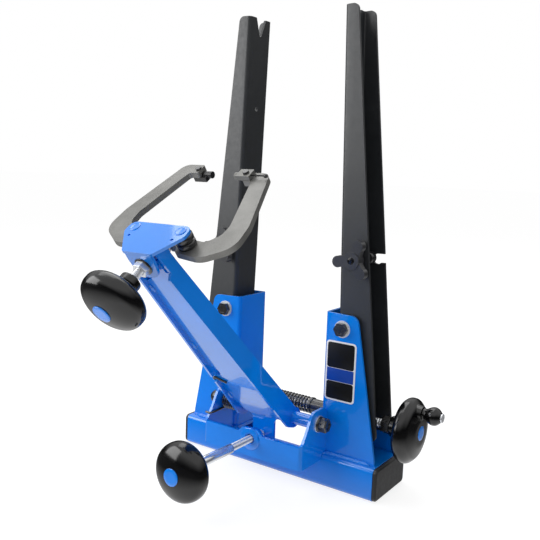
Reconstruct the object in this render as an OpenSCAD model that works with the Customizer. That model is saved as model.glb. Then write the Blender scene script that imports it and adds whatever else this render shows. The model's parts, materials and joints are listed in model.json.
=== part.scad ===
// Bicycle wheel truing stand, hand cranked, millimetres.
// X runs along the base tube, Y runs back, Z up. The origin is on the bench,
// straight under the wheel axle. The stand is built in the pose of rest: the
// support arm leans forward and the uprights lean in a little.

/* [Base tube] */
// Length of the steel tube
tube_len = 250; // [220:1:300]
// Depth of the tube, front to back
tube_depth = 70; // [62:1:84]
// Height of the tube
tube_height = 35; // [30:1:42]
// Wall of the tube
tube_wall = 3; // [2.5:0.1:4]
// Outer corner radius of the tube
tube_corner = 5; // [4:0.5:7]
// Half length of the window cut for the wheel
window_half = 54; // [50:1:56]
// Lip that is left on the front wall inside the window
window_lip = 8; // [6:0.5:12]
// How far an end cap stands proud of the tube
cap_proud = 4.5; // [3:0.5:7]
// Length of the plug of an end cap inside the tube
cap_plug = 14; // [8:1:20]

/* [Pivot bracket] */
// Sheet of the pivot bracket
bracket_sheet = 3; // [2.5:0.1:3.5]
// Half width over the ears
ear_half = 64; // [62:0.5:66]
// Front panel ahead of the front of the tube
panel_ahead = 41.5; // [40:0.5:44]
// Lower edge of the front panel
panel_low = 30; // [28:0.5:32]
// Upper edge of the front panel
panel_high = 55; // [54:0.5:57]
// Boss radius round the radius screw
panel_boss = 12; // [11:0.5:14]
// Height of the radius screw
radius_screw_z = 49.5; // [48:0.5:51]
// Support arm pivot ahead of the front of the tube
pivot_ahead = 8; // [7:0.5:10]
// Height of the support arm pivot
pivot_z = 72; // [71:0.5:73]

/* [Uprights] */
// Overall height
stand_height = 500; // [460:1:540]
// Width of an upright, front to back
upright_width = 40; // [38:0.5:42]
// Sheet of an upright
upright_sheet = 3; // [2.5:0.1:3.5]
// Flange width at the top of an upright
flange_top = 15; // [12:0.5:18]
// Flange growth for each millimetre down
flange_taper = 0.0725; // [0.06:0.0005:0.08]
// Lower end of an upright above the bench
upright_low = 57; // [54:1:60]
// Inward lean of an upright
upright_lean = 1.83; // [1.6:0.01:2.2]
// Upright pivot bolt from the middle plane
upright_bolt_x = 77.4; // [76:0.2:79]
// Height of the upright pivot bolts
upright_bolt_z = 173; // [168:1:176]
// Inner face of the web from the pivot bolt
web_offset = 8.6; // [8.2:0.1:9.2]
// Depth of the axle notch
notch_depth = 19; // [16:0.5:22]
// Half width of the axle notch at its mouth
notch_half = 9; // [8:0.5:11]
// Radius at the bottom of the axle notch
notch_r = 2.5; // [2:0.25:4]

/* [Upright brackets] */
// Inner face of the bracket web from the middle plane
web_x = 56.5; // [56:0.5:57.5]
// Width of a bracket, front to back
channel_width = 52; // [50.5:0.5:56]
// Sheet of a bracket
channel_sheet = 3; // [2.5:0.1:3.5]
// Upper edge of a bracket
channel_top = 189; // [187:1:194]
// Outer edge of a bracket at the tube, in from the tube's end
channel_foot_inset = 3; // [1:0.5:8]
// Outer edge of a bracket at its shoulder
channel_shoulder_x = 94; // [93:0.5:97]

/* [Width drive] */
// Height of the drive screw
drive_z = 73; // [72:0.5:74]
// Radius of the drive screw
drive_r = 5; // [4.5:0.1:5.5]
// Thread pitch drawn on the drive screw
drive_lead = 3; // [2.5:0.5:4]
// Trunnion axis from the middle plane
trunnion_x = 85.5; // [85:0.5:87]
// Trunnion barrel radius
trunnion_r = 9; // [8.5:0.1:9.2]
// Trunnion pin radius
trunnion_pin = 4; // [3:0.1:5]
// Thrust sleeve radius
sleeve_r = 8; // [7.5:0.1:8.5]
// Inner end of a thrust sleeve from the middle plane
sleeve_in = 28; // [25:1:32]
// Radius of the drive knob
drive_knob_r = 34; // [30:1:36]
// Middle of the drive knob's rim from the middle plane
drive_knob_x = 146; // [144:1:150]
// Crank boss from the middle of the drive knob
crank_r = 21; // [18:1:23]
// Radius of the spinner
spinner_r = 9.5; // [8:0.5:11]

/* [Springs] */
// Wire of the drive spring
drive_wire = 2.6; // [2.2:0.1:2.8]
// Outer diameter of the drive spring
drive_coil_d = 18.5; // [18:0.5:20]
// Curls of the drive spring
drive_curls = 13; // [10:1:14]
// Wire of the torsion spring
torsion_wire = 2.4; // [1.8:0.1:2.5]
// Curls of the torsion spring
torsion_curls = 6; // [5:1:7]
// Pitch of the torsion spring
torsion_pitch = 3.1; // [2.9:0.1:3.2]
// Room for the torsion spring, from an ear's outer face to the arm
spring_room = 30; // [28:0.5:33]

/* [Support arm] */
// Forward lean of the arm from upright
arm_lean = 44.3; // [40:0.1:48]
// Sheet of the arm
arm_sheet = 3; // [2.5:0.1:3.5]
// Half width over the arm's side plates at the head
arm_top_half = 19; // [18:0.5:21]
// Front edges of the side plates ahead of the pivot
arm_front = 14.2; // [13.6:0.1:14.6]
// Length of the arm from the pivot to the head
arm_reach = 273.5; // [262:0.5:285]
// Step in the side plates below the head
arm_step_drop = 26.5; // [24:0.5:33]
// Radius of the lobe round the pivot
arm_lobe = 11; // [10:0.5:12]
// Place of the spring's leg along the arm
leg_z = 75; // [65:1:85]
// Radius of the pivot tube
pivot_tube_r = 7; // [6.5:0.1:7.5]
// Radius of the pivot bolt
pivot_bolt_r = 4; // [3.5:0.1:4.5]
// Width of the tail that the radius screw pushes
tail_width = 28; // [24:1:36]
// Front face of the tail and of the web ahead of the pivot
tail_ahead = 9.5; // [9.3:0.1:9.8]
// Lower end of the tail below the pivot
tail_drop = 32; // [29:1:34]

/* [Head] */
// Head plate behind the pivot line of the arm
head_setback = 18.6; // [18:0.2:19.4]
// Tilt of the head plate against the arm
head_tilt = 7.8; // [6:0.1:9]
// Thickness of the head plate
head_sheet = 3; // [2.5:0.1:3.5]
// Calliper pivot from the middle plane
calliper_pivot = 26.5; // [26:0.1:27]
// Front lip from the calliper pivots
lip_ahead = 31; // [30:0.5:32]
// Depth of the front lip
lip_drop = 28; // [27:0.5:29]
// Width of the front lip
lip_width = 30; // [28:1:32]
// Depth of the head screw under the plate
head_screw_drop = 15.5; // [15:0.1:16]

/* [Callipers] */
// Thickness of a calliper arm
calliper_t = 6; // [5:0.1:6.4]
// Top of the left calliper under the plate
left_level = 9; // [8.6:0.1:9.2]
// Top of the right calliper under the plate
right_level = 16; // [15.8:0.1:16.2]
// Width of a calliper arm at its root
calliper_root = 20; // [18:0.5:22]
// Width of a calliper arm at its end
calliper_end = 15; // [13:0.5:16]
// Distance from the calliper pivot to the tip along the plate
calliper_reach = 99; // [94:1:104]
// Inner end of the nose from the middle plane
nose_gap = 14; // [13:0.5:16]
// Radius of the calliper pins
calliper_pin = 4; // [3.5:0.1:4.5]

/* [Screws and knobs] */
// Radius of the round knobs
knob_r = 29.5; // [26:0.5:31]
// Depth of a round knob from neck to crown
knob_depth = 41; // [36:1:46]
// Radius of the screw threads
thread_r = 4; // [3.5:0.1:4.4]
// Radius of the shoulder of the radius screw
shoulder_r = 5; // [4.6:0.1:5.5]
// Length of the radius screw ahead of the panel
radius_reach = 82; // [76:1:90]
// Start of the head knob from the calliper pivots
head_knob_v = 47.5; // [46:0.5:52]
// Height of the clamp knobs
clamp_z = 246; // [236:1:256]
// Lobe tip radius of a clamp knob
clamp_lobe = 22; // [19:0.5:24]

/* [Hidden] */

$fn = 48;
blue = [0.03, 0.33, 0.78];
black = [0.05, 0.05, 0.055];
slate = [0.16, 0.17, 0.18];
steel = [0.72, 0.73, 0.75];
grey = [0.42, 0.42, 0.40];

eps = 0.01;
// Radial clearance of a pin or shaft in its hole
run = 0.06;
// Side clearance between flat faces that turn past each other
side_gap = 0.3;
// Hexagon radius for one millimetre across the flats
hex_k = 1 / sqrt(3);

front_y = -tube_depth / 2;
panel_y = front_y - panel_ahead;
pivot_y = front_y - pivot_ahead;
ear_in = ear_half - bracket_sheet;
arm_foot_half = ear_half - spring_room;
arm_step_z = arm_reach - arm_step_drop;
channel_foot_x = tube_len / 2 - channel_foot_inset;

upright_in = upright_width / 2 - upright_sheet;
channel_in = channel_width / 2 - channel_sheet;
upright_rise = stand_height - upright_bolt_z;
upright_fall = upright_bolt_z - upright_low;
bolt_r = 4;
bolt_across = 13;
washer_t = 1.6;
washer_r = 9;

sleeve_out = upright_bolt_x - web_offset / cos(upright_lean)
    + (upright_bolt_z - drive_z) * tan(upright_lean) - 0.9;
sleeve_flange = 3;
trunnion_nose = 19;
thread_slack = 1.3;

tip_gap = 0.45;
screw_tip_y = pivot_y - tail_ahead - tip_gap;
clamp_x = upright_bolt_x - web_offset + flange_top / 2 + 8
    + (stand_height - clamp_z) * 0.01;
clamp_r = 3.2;

// ---------- outline helpers ----------

function unit2(v) = v / norm(v);

// Points of the arc that rounds corner b, between a and c, with radius r
function corner_arc(a, b, c, r, n) =
    let (u = unit2(a - b), v = unit2(c - b),
         half = acos(u * v) / 2,
         centre = b + unit2(u + v) * r / sin(half),
         p = b + u * r / tan(half) - centre,
         q = b + v * r / tan(half) - centre,
         start = atan2(p[1], p[0]),
         turn = atan2(p[0] * q[1] - p[1] * q[0], p * q))
    [for (i = [0:n]) centre + r * [cos(start + turn * i / n), sin(start + turn * i / n)]];

// Outline from corners [x, y, r], each rounded by its own radius
function rounded(pts, n = 6) =
    [for (i = [0:len(pts) - 1])
        let (k = len(pts), b = pts[i], a = pts[(i + k - 1) % k], c = pts[(i + 1) % k])
        each b[2] == 0 ? [[b[0], b[1]]]
            : corner_arc([a[0], a[1]], [b[0], b[1]], [c[0], c[1]], b[2], n)];

// Plate in the XZ plane with its outline in [x, z], from y0 to y1
module plate_xz(pts, y0, y1)
    translate([0, y1, 0]) rotate([90, 0, 0]) linear_extrude(y1 - y0) polygon(pts);

// Plate in the YZ plane with its outline in [y, z], from x0 to x1
module plate_yz(pts, x0, x1)
    translate([x0, 0, 0]) rotate([90, 0, 90]) linear_extrude(x1 - x0) polygon(pts);

module rod_x(r, x0, x1) translate([x0, 0, 0]) rotate([0, 90, 0]) cylinder(r = r, h = x1 - x0);
module rod_y(r, y0, y1) translate([0, y1, 0]) rotate([90, 0, 0]) cylinder(r = r, h = y1 - y0);
module hex_x(across, x0, x1)
    translate([x0, 0, 0]) rotate([0, 90, 0]) cylinder(r = across * hex_k, h = x1 - x0, $fn = 6);
module hex_y(across, y0, y1)
    translate([0, y1, 0]) rotate([90, 0, 0]) cylinder(r = across * hex_k, h = y1 - y0, $fn = 6);

// Section of a folded channel in [x, y]: web at x = 0, flanges towards +x
module channel_section(width, depth, sheet, fold) {
    half = width / 2;
    difference() {
        polygon(rounded([[0, -half, fold], [depth, -half, 0], [depth, half, 0], [0, half, fold]]));
        polygon(rounded([[sheet, sheet - half, fold - sheet], [depth + 1, sheet - half, 0],
            [depth + 1, half - sheet, 0], [sheet, half - sheet, fold - sheet]]));
    }
}

module on_side(side) if (side < 0) mirror([1, 0, 0]) children(); else children();

// ---------- wound springs ----------

// Frame of a helix round X at turn t: centre, outward and sideways directions
function helix_ring(p, tangent, r, sides) =
    let (a = unit2(tangent),
         up = abs(a[0]) > 0.9 ? [0, 0, 1] : [1, 0, 0],
         b = unit2(cross(a, up)),
         c = cross(a, b))
    [for (k = [0:sides - 1]) p + r * (cos(360 * k / sides) * b + sin(360 * k / sides) * c)];

// One unbroken tube along a list of points
module wire_tube(path, r, sides = 6) {
    last = len(path) - 1;
    rings = [for (i = [0:last])
        helix_ring(path[i], path[min(i + 1, last)] - path[max(i - 1, 0)], r, sides)];
    points = [for (ring = rings) each ring];
    walls = [for (i = [0:last - 1]) for (k = [0:sides - 1])
        let (a = i * sides + k, b = i * sides + (k + 1) % sides)
        each [[a, a + sides, b + sides], [a, b + sides, b]]];
    ends = concat([for (k = [1:sides - 2]) [0, k, k + 1]],
        [for (k = [1:sides - 2]) [last * sides, last * sides + k + 1, last * sides + k]]);
    polyhedron(points = points, faces = concat(walls, ends), convexity = 10);
}

// Least distance between points of the path that are over half a curl apart
function least_gap(path, apart, wire) =
    min([for (i = [0:len(path) - 1]) for (j = [i + apart:1:len(path) - 1])
        norm(path[i] - path[j])]) - wire;

rings_per_curl = 8;

// ---------- base ----------

module base_tube() color(blue) {
    outline = rounded([[front_y, 0, tube_corner], [-front_y, 0, tube_corner],
        [-front_y, tube_height, tube_corner], [front_y, tube_height, tube_corner]]);
    inner = tube_corner - tube_wall;
    bore = rounded([[front_y + tube_wall, tube_wall, inner],
        [-front_y - tube_wall, tube_wall, inner],
        [-front_y - tube_wall, tube_height - tube_wall, inner],
        [front_y + tube_wall, tube_height - tube_wall, inner]]);
    difference() {
        plate_yz(outline, -tube_len / 2, tube_len / 2);
        plate_yz(bore, -tube_len / 2 - 1, tube_len / 2 + 1);
        // Window for the wheel, open to the back
        translate([-window_half, front_y + window_lip, -1])
            cube([2 * window_half, tube_depth, tube_height + 2]);
    }
}

module end_cap() {
    fit = 0.15;
    wall = 2.5;
    inner = tube_corner - tube_wall;
    rim = rounded([[front_y + 0.4, 0.4, tube_corner], [-front_y - 0.4, 0.4, tube_corner],
        [-front_y - 0.4, tube_height - 0.4, tube_corner],
        [front_y + 0.4, tube_height - 0.4, tube_corner]]);
    crown = rounded([for (p = [[-1, 0], [1, 0], [1, 1], [-1, 1]])
        [p[0] * (tube_depth / 2 - 2), p[1] * (tube_height - 4) + 2, tube_corner - 1.5]]);
    plug_y = tube_depth / 2 - tube_wall - fit;
    plug = rounded([[-plug_y, tube_wall + fit, inner], [plug_y, tube_wall + fit, inner],
        [plug_y, tube_height - tube_wall - fit, inner],
        [-plug_y, tube_height - tube_wall - fit, inner]]);
    hollow = [for (p = [[-1, 0], [1, 0], [1, 1], [-1, 1]])
        [p[0] * (plug_y - wall), tube_wall + fit + wall
            + p[1] * (tube_height - 2 * (tube_wall + fit + wall))]];
    end_x = tube_len / 2;
    plate_yz(rim, end_x, end_x + cap_proud - 1.5);
    hull() {
        plate_yz(rim, end_x + cap_proud - 1.6, end_x + cap_proud - 1.5);
        plate_yz(crown, end_x + cap_proud - 0.1, end_x + cap_proud);
    }
    difference() {
        plate_yz(plug, end_x - cap_plug, end_x + 1);
        plate_yz(hollow, end_x - cap_plug - 1, end_x);
    }
}
module end_cap_left() color(black) on_side(-1) end_cap();
module end_cap_right() color(black) on_side(1) end_cap();

// Folded sheet: a front panel with a boss and two ears that carry the arm
module pivot_bracket() color(blue) {
    fold = bracket_sheet + 1.5;
    low_r = 7;
    back_y = -channel_width / 2;
    top_z = pivot_z + 15;
    ear = rounded([[panel_y, panel_low, 0], [front_y, panel_low, 0], [front_y, tube_height, 0],
        [back_y, tube_height, 0], [back_y, top_z, 9], [pivot_y - 12, top_z, 10],
        [pivot_y - 23.5, pivot_z - 6, 5], [panel_y + 4, panel_high + 2.5, 3],
        [panel_y, panel_high, 0]]);
    panel = rounded([[-ear_half, panel_low, low_r], [ear_half, panel_low, low_r],
        [ear_half, panel_high, 0], [panel_boss + 4, panel_high, 3],
        [panel_boss - 2, panel_high + 6, 6], [2 - panel_boss, panel_high + 6, 6],
        [-panel_boss - 4, panel_high, 3], [-ear_half, panel_high, 0]]);
    wrap = rounded([[-ear_half, panel_y, fold], [ear_half, panel_y, fold],
        [ear_half, 0, 0], [-ear_half, 0, 0]]);
    inside = rounded([[-ear_in, panel_y + bracket_sheet, 1.5],
        [ear_in, panel_y + bracket_sheet, 1.5], [ear_in, 1, 0], [-ear_in, 1, 0]]);
    difference() {
        intersection() {
            linear_extrude(top_z + 1) difference() { polygon(wrap); polygon(inside); }
            plate_yz(ear, -ear_half, ear_half);
        }
        translate([-ear_in - eps, panel_y - 1, panel_low - 1])
            cube([2 * (ear_in + eps), 2 + bracket_sheet, top_z]);
        translate([0, pivot_y, pivot_z]) rod_x(pivot_bolt_r + run, -ear_half - 1, ear_half + 1);
    }
    difference() {
        intersection() {
            plate_xz(panel, panel_y, panel_y + bracket_sheet);
            linear_extrude(top_z) polygon(wrap);
        }
        translate([0, 0, radius_screw_z]) rod_y(thread_r + 1, panel_y - 1, panel_y + 5);
    }
}

module radius_nut() color(steel) translate([0, 0, radius_screw_z]) difference() {
    hex_y(16, panel_y + bracket_sheet, panel_y + bracket_sheet + 9);
    rod_y(thread_r + run, panel_y, panel_y + 20);
}

module arm_pivot_bolt() color(slate) translate([0, pivot_y, pivot_z]) {
    end_x = ear_half + washer_t;
    rod_x(pivot_bolt_r, -end_x - 10, end_x + 1);
    translate([end_x, 0, 0]) rotate([0, 90, 0]) cylinder(r1 = 8.4, r2 = 7.7, h = 1.8);
    difference() {
        hex_x(bolt_across, end_x, end_x + 5.5);
        rod_x(4.2, end_x + 5, end_x + 6);
    }
}
module arm_pivot_nut() color(slate) translate([0, pivot_y, pivot_z]) difference() {
    hex_x(bolt_across, -ear_half - washer_t - 6.5, -ear_half - washer_t);
    rod_x(pivot_bolt_r + run, -ear_half - 20, -ear_half);
}
module arm_pivot_washers() color(steel) translate([0, pivot_y, pivot_z])
    for (side = [-1, 1]) on_side(side) difference() {
        rod_x(washer_r, ear_half, ear_half + washer_t);
        rod_x(pivot_bolt_r + run, ear_half - 1, ear_half + 3);
    }

// Tapered channel welded upright on the tube, web inwards
module upright_bracket() difference() {
    depth = channel_foot_x - web_x;
    side = rounded([[web_x, tube_height, 0], [channel_foot_x, tube_height, 0],
        [channel_foot_x - 1, tube_height + 8, 4], [channel_shoulder_x, channel_top - 1, 9],
        [web_x, channel_top, 0]]);
    intersection() {
        translate([web_x, 0, tube_height]) linear_extrude(channel_top)
            channel_section(channel_width, depth + 1, channel_sheet, channel_sheet + 1.5);
        plate_xz(side, -channel_width, channel_width);
    }
    translate([upright_bolt_x, 0, upright_bolt_z])
        rod_y(bolt_r + run, -channel_width, channel_width);
    translate([0, 0, drive_z]) rod_x(sleeve_r + run, web_x - 1, web_x + channel_sheet + 1);
}
module upright_bracket_left() color(blue) on_side(-1) upright_bracket();
module upright_bracket_right() color(blue) on_side(1) upright_bracket();

module at_upright_bolt(side) on_side(side) translate([upright_bolt_x, 0, upright_bolt_z]) children();

module upright_bolt() {
    face = channel_width / 2 + washer_t;
    rod_y(bolt_r, -face - 1, face + 8);
    difference() {
        hex_y(bolt_across, -face - 5.5, -face);
        rod_y(4.2, -face - 6, -face - 5);
    }
}
module upright_bolt_left() color(slate) at_upright_bolt(-1) upright_bolt();
module upright_bolt_right() color(slate) at_upright_bolt(1) upright_bolt();
module upright_bolt_nuts() color(slate) for (side = [-1, 1]) at_upright_bolt(side) difference() {
    face = channel_width / 2 + washer_t;
    hex_y(bolt_across, face, face + 6.5);
    rod_y(bolt_r + run, face - 1, face + 9);
}
module ring_y(r, hole, y0, y1) difference() {
    rod_y(r, y0, y1);
    rod_y(hole, y0 - 1, y1 + 1);
}
module upright_bolt_washers() color(steel) for (side = [-1, 1]) at_upright_bolt(side)
    for (end = [-1, 1]) translate([0, end * (channel_width + washer_t) / 2, 0])
        ring_y(washer_r, bolt_r + run, -washer_t / 2, washer_t / 2);
// Slippery washers that keep an upright in the middle of its bracket
module upright_spacers() color(steel) for (side = [-1, 1]) at_upright_bolt(side)
    for (end = [-1, 1]) {
        mid = (upright_width / 2 + channel_in) / 2;
        half = (channel_in - upright_width / 2) / 2 - 0.1;
        translate([0, end * mid, 0]) ring_y(9, bolt_r + run, -half, half);
    }

// ---------- uprights ----------

// Frame of an upright: origin on its pivot bolt, +Z up along the web
module upright_frame(side) at_upright_bolt(side) rotate([0, -upright_lean, 0]) children();

module upright() difference() {
    depth = flange_top + flange_taper * (upright_rise + upright_fall);
    out = function(z) -web_offset + flange_top + flange_taper * (upright_rise - z);
    side = rounded([[-web_offset, -upright_fall, 0], [out(-upright_fall), -upright_fall, 6],
        [out(upright_rise), upright_rise, 6], [-web_offset, upright_rise, 0]]);
    hook_z = clamp_z - upright_bolt_z;
    intersection() {
        translate([-web_offset, 0, -upright_fall]) linear_extrude(upright_rise + upright_fall)
            channel_section(upright_width, depth, upright_sheet, upright_sheet + 1.5);
        plate_xz(side, -upright_width, upright_width);
    }
    rod_y(bolt_r + run, -upright_width, upright_width);
    // Notch for the wheel axle, with a round seat
    seat_z = upright_rise - notch_depth + notch_r;
    translate([-web_offset - 1, 0, 0]) plate_yz([[-notch_half, upright_rise + 1],
        [-notch_r * 0.93, seat_z - 0.3], [notch_r * 0.93, seat_z - 0.3],
        [notch_half, upright_rise + 1]], 0, upright_sheet + 2);
    translate([0, 0, seat_z]) rod_x(notch_r, -web_offset - 1, -web_offset + upright_sheet + 1);
    // Small hole in the web
    translate([0, 0, upright_rise - 98]) rod_x(2.5, -web_offset - 1, upright_sheet);
    // Way through for the drive screw
    translate([0, 0, (drive_z - upright_bolt_z) / cos(upright_lean)])
        rod_x(drive_r + 1.5, -web_offset - 1, upright_sheet);
    // Pin holes of the trunnion
    rotate([0, upright_lean, 0])
        translate([trunnion_x - upright_bolt_x, 0, drive_z - upright_bolt_z])
            rod_y(trunnion_pin + run, -upright_width, upright_width);
    // Hole of the clamp stud in the front flange and hook notch in the back flange
    rotate([0, upright_lean, 0]) translate([clamp_x - upright_bolt_x, 0, hook_z])
        rod_y(clamp_r + run, -upright_width, 0);
    translate([out(hook_z) - 8, upright_in - 1, hook_z - 2])
        rod_y(5.5, 0, upright_sheet + 3);
    translate([out(hook_z) - 8, upright_in - 1, hook_z - 2 - 4])
        cube([20, upright_sheet + 3, 9.5]);
}
module upright_left() color(black) upright_frame(-1) upright();
module upright_right() color(black) upright_frame(1) upright();

// ---------- accessory clamps ----------

module at_clamp(side) on_side(side) translate([clamp_x, 0, clamp_z]) children();
flange_face = -upright_width / 2;

module clamp_nut() ring_y(6.5, clamp_r + run, flange_face + upright_sheet,
    flange_face + upright_sheet + 6);
module clamp_nut_left() color(black) at_clamp(-1) clamp_nut();
module clamp_nut_right() color(black) at_clamp(1) clamp_nut();

module clamp_stud() {
    rod_y(clamp_r, flange_face - 12, 2);
    rod_y(6.5, 2 - eps, 12);
}
module clamp_stud_left() color(slate) at_clamp(-1) clamp_stud();
module clamp_stud_right() color(slate) at_clamp(1) clamp_stud();

module clamp_knob(turn) rotate([0, turn, 0]) difference() {
    union() {
        rod_y(9, flange_face - 14, flange_face - 2.5);
        for (a = [0, 120, 240]) rotate([0, a, 0]) {
            translate([clamp_lobe - 6, 0, 0]) rod_y(6, flange_face - 13, flange_face - 5);
            plate_xz([[0, -7], [clamp_lobe - 6, -5], [clamp_lobe - 6, 5], [0, 7]],
                flange_face - 13, flange_face - 5);
        }
    }
    rod_y(clamp_r + run, flange_face - 12.1, flange_face);
}
module clamp_knob_left() color(black) at_clamp(-1) clamp_knob(8);
module clamp_knob_right() color(black) at_clamp(1) clamp_knob(52);

// ---------- width drive ----------

// Barrel nut that turns on its two pins between the flanges of an upright
module trunnion() translate([trunnion_x, 0, drive_z]) difference() {
    union() {
        rod_y(trunnion_r, side_gap - upright_in, upright_in - side_gap);
        rod_y(trunnion_pin, -upright_width / 2 - 1.5, upright_width / 2 + 1.5);
        rod_x(trunnion_r - 0.5, 0, trunnion_nose);
    }
    rod_x(drive_r + thread_slack, -20, 40);
}
module trunnion_left() color(slate) on_side(-1) trunnion();
module trunnion_right() color(slate) on_side(1) trunnion();

module sleeve() translate([0, 0, drive_z]) difference() {
    union() {
        rod_x(sleeve_r, sleeve_in, sleeve_out - 1);
        rod_x(drive_coil_d / 2, sleeve_in, sleeve_in + sleeve_flange);
        translate([sleeve_out - 1, 0, 0]) rotate([0, 90, 0])
            cylinder(r1 = sleeve_r, r2 = sleeve_r - 1, h = 1);
    }
    rod_x(drive_r + run, 0, sleeve_out + 1);
}
module sleeve_left() color(black) on_side(-1) sleeve();
module sleeve_right() color(black) on_side(1) sleeve();

// Path of the drive spring: a helix between the sleeves with a straight start and end
drive_mean = (drive_coil_d - drive_wire) / 2;
drive_half = sleeve_in - drive_wire / 2 - side_gap;
drive_coil = [for (i = [0:drive_curls * rings_per_curl])
    let (t = i / (drive_curls * rings_per_curl), a = 360 * i / rings_per_curl)
    [-drive_half + 2 * drive_half * t, drive_mean * cos(a), drive_mean * sin(a)]];
drive_path = concat([drive_coil[0] - [0, 0, drive_wire]], drive_coil,
    [drive_coil[len(drive_coil) - 1] + [0, 0, drive_wire]]);
module drive_spring() {
    echo(drive_spring_least_gap = least_gap(drive_path, rings_per_curl / 2 + 1, drive_wire));
    color(slate) translate([0, 0, drive_z]) wire_tube(drive_path, drive_wire / 2);
}

screw_left_end = trunnion_x + trunnion_nose + 8;
knob_back_x = drive_knob_x - 19;
module drive_screw() color(steel) translate([0, 0, drive_z]) {
    rod_x(drive_r, -screw_left_end, knob_back_x + 16);
}
module drive_lock_nut() color(slate) translate([0, 0, drive_z]) difference() {
    hex_x(17, knob_back_x - 9, knob_back_x);
    rod_x(drive_r + run, knob_back_x - 10, knob_back_x + 1);
}

// Profile of a round knob in [r, t]: t runs from the neck to the crown
function knob_profile(r, depth, neck) =
    rounded([[0, 0, 0], [neck, 0, 2], [neck, depth * 0.25, 3], [r - 3.5, depth * 0.4, 5],
        [r, depth * 0.52, 6], [r, depth * 0.7, 7], [r - 6, depth * 0.88, 9],
        [r * 0.42, depth, 20], [0, depth, 0]]);
module round_knob(r, depth, neck) rotate_extrude($fn = 96) polygon(knob_profile(r, depth, neck));

drive_knob_depth = 33;
module drive_knob() color(black) translate([knob_back_x, 0, drive_z]) difference() {
    union() {
        rotate([0, 90, 0]) round_knob(drive_knob_r, drive_knob_depth, 11);
        translate([drive_knob_depth - 15, 0, crank_r]) rotate([0, 90, 0])
            cylinder(r1 = 10.5, r2 = 7.5, h = 16);
    }
    rod_x(drive_r + run, -1, 16);
    translate([0, 0, crank_r]) rod_x(2.5 + run, drive_knob_depth - 9, drive_knob_depth + 2);
}
crank_face = knob_back_x + drive_knob_depth + 1;
module at_crank() translate([crank_face, 0, drive_z + crank_r]) children();
module crank_pin() color(steel) at_crank() {
    rod_x(2.5, -8, 19.6);
    rod_x(4.5, 19.2, 21);
}
module crank_spinner() color(black) at_crank() difference() {
    rotate([0, 90, 0]) rotate_extrude() polygon(rounded([[0, side_gap, 0],
        [6.4, side_gap, 1], [5.6, 3, 3], [spinner_r - 0.5, 8, 5], [spinner_r, 14, 5],
        [5.6, 19, 2], [0, 19, 0]]));
    rod_x(2.5 + run, -1, 30);
    rod_x(5, 18.9, 30);
}

// ---------- support arm ----------

// Frame of the arm: origin on the pivot, +Z along the arm, +Y to its back
module arm_frame() translate([0, pivot_y, pivot_z]) rotate([arm_lean, 0, 0]) children();

arm_slope = (arm_foot_half - arm_top_half) / arm_reach;
arm_taper = atan(arm_slope);
function arm_half(z) = arm_foot_half - arm_slope * z;

// Underside of the head plate in the frame of the arm
function plate_floor(y) =
    arm_reach - head_sheet / cos(head_tilt) + (head_setback - y) * tan(head_tilt);

// Web of the arm and its tail, bent upright, which the radius screw pushes
module arm_web() {
    back = tail_ahead - arm_sheet;
    bend = tan(arm_lean / 2);
    top_z = arm_reach + 10;
    tilt = function(y, z) [y * cos(arm_lean) + z * sin(arm_lean), z * cos(arm_lean) - y * sin(arm_lean)];
    profile = [[-tail_ahead, top_z], [-tail_ahead, tail_ahead * bend],
        tilt(-tail_ahead, -tail_drop), tilt(-back, -tail_drop),
        [-back, back * bend], [-back, top_z]];
    side = function(z) arm_half(z) - 1;
    half = tail_width / 2;
    // Tab behind the lip of the head, beside the screw, with a slit beside the side plate
    slit_z = arm_reach - 22.5;
    tab_x = arm_top_half - 4.5;
    left_z = arm_reach - 39.5;
    outline = rounded([[-half, -tail_drop - 10, 0], [half, -tail_drop - 10, 0],
        [half, 1, 4], [half + 10, 10, 9], [side(32), 32, 0], [side(slit_z), slit_z, 0],
        [tab_x, slit_z, 0], [tab_x, arm_reach - 8, 1.5], [6.5, arm_reach - 8, 1.5],
        [6.5, arm_reach - 19, 3], [-10, left_z + 5, 5], [-side(left_z), left_z, 0],
        [-side(32), 32, 0], [-half - 10, 10, 9], [-half, 1, 4]]);
    eye_x = arm_sheet - arm_half(leg_z + 11);
    difference() {
        intersection() {
            plate_yz(profile, -arm_foot_half, arm_foot_half);
            plate_xz(outline, -tail_drop - 10, arm_lobe);
        }
        // Half-round opening over the spring's leg, and the slot at the bend
        plate_xz(rounded([[eye_x, leg_z + 2.5, 0], [eye_x + 9, leg_z + 2.5, 8.4],
            [eye_x + 9, leg_z + 20, 8.4], [eye_x, leg_z + 20, 0]]), -tail_ahead - 1, 0);
        plate_xz([[-3, 4.6], [3, 4.6], [3, 6.2], [-3, 6.2]], -tail_ahead - 1, 0);
    }
}

// Side plate of the arm, leaning in by the taper, with a notch for the spring's leg
module arm_side(notched) translate([arm_foot_half, 0, 0]) rotate([0, -arm_taper, 0]) {
    step = 9;
    outline = rounded([[-arm_front, 3, 5], [1.5 - arm_lobe, -5.5, 0], [arm_lobe - 2.5, -4, 0],
        [arm_lobe - 2, 4, 0], [3, arm_reach - 20, 0], [3, arm_reach + 8, 0],
        [-step, arm_reach + 8, 0], [-step, arm_step_z + 4, 1.5], [-arm_front, arm_step_z, 2]]);
    difference() {
        union() {
            plate_yz(outline, -arm_sheet, 0);
            rod_x(arm_lobe, -arm_sheet, 0);
        }
        if (notched) plate_yz(rounded([[-arm_front - 1, leg_z - 5, 0], [0.6 - tail_ahead, leg_z - 5, 3],
            [0.6 - tail_ahead, leg_z + 5, 3], [-arm_front - 1, leg_z + 5, 0]]), -5, 5);
    }
}

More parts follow.
